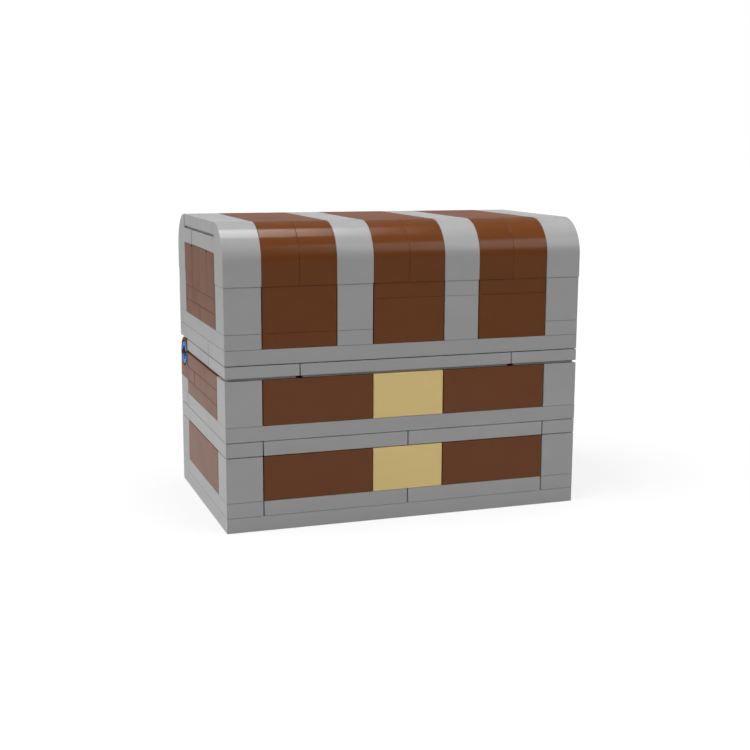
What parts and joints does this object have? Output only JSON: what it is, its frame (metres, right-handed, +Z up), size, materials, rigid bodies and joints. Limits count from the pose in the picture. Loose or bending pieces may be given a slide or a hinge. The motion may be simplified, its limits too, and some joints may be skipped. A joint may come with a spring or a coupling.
{
  "type": "toy treasure chest of interlocking blocks",
  "caption": "Toy treasure chest built from interlocking plastic blocks, with a studded tray inside and a rounded lid that turns on ring-and-pin hinges at the back.",
  "frame": {"origin": "middle of the footprint, on the surface the chest stands on", "axes": "+Z up, +X along the chest's width towards its own right as seen from the front, -Y towards the front, +Y towards the hinges"},
  "size_m": [0.08, 0.048, 0.064],
  "materials": {
    "light_grey": "glossy",
    "reddish_brown": "glossy",
    "tan": "glossy",
    "blue": "glossy"
  },
  "bodies": {
    "base": {"back_corner_plates": "light_grey", "back_deck_plate": "light_grey", "back_rim_tiles": "light_grey", "base_ring_plates": "reddish_brown", "bottom_plate": "light_grey", "front_rim_tile": "light_grey", "lower_back_brown_bricks": "reddish_brown", "lower_back_plates": "light_grey", "lower_back_tan_brick": "tan", "lower_corner_bricks": "light_grey", "lower_front_brown_bricks": "reddish_brown", "lower_front_plates": "light_grey", "lower_front_tan_brick": "tan", "lower_side_brown_bricks": "reddish_brown", "lower_side_plates": "light_grey", "rim_corner_tiles": "light_grey", "side_rim_tiles": "light_grey", "side_strips_high": "reddish_brown", "side_strips_low": "reddish_brown", "side_strips_middle": "reddish_brown", "tray_deck": "light_grey", "upper_back_plates": "light_grey", "upper_front_brown_bricks": "reddish_brown", "upper_front_corner_bricks": "light_grey", "upper_front_plates": "light_grey", "upper_front_tan_brick": "tan", "upper_side_plates": "light_grey"},
    "lid": {"back_curved_brown_bricks": "reddish_brown", "back_curved_grey_bricks": "light_grey", "brown_top_tiles": "reddish_brown", "front_curved_brown_bricks": "reddish_brown", "front_curved_grey_bricks": "light_grey", "grey_top_tiles": "light_grey", "hinge_pins": "blue", "lid_back_brown_bricks": "reddish_brown", "lid_back_brown_plates": "reddish_brown", "lid_back_filler_plates": "light_grey", "lid_back_grey_bricks": "light_grey", "lid_back_grey_plates": "light_grey", "lid_corner_bricks": "light_grey", "lid_floor_back": "light_grey", "lid_floor_front": "light_grey", "lid_front_brown_bricks": "reddish_brown", "lid_front_brown_plates": "reddish_brown", "lid_front_grey_bricks": "light_grey", "lid_front_grey_plates": "light_grey", "lid_ring_plates": "reddish_brown", "lid_side_bricks": "reddish_brown", "lid_side_long_plates": "reddish_brown", "lid_side_plates": "light_grey", "lid_side_short_plates": "reddish_brown", "ridge_plate": "light_grey"}
  },
  "joints": [
    {"name": "lid_hinge", "type": "hinge", "parent": "base", "child": "lid", "pos_m": [0, 0.02, 0.0314], "axis": [-1, 0, 0], "range_deg": [0, 85]}
  ]
}
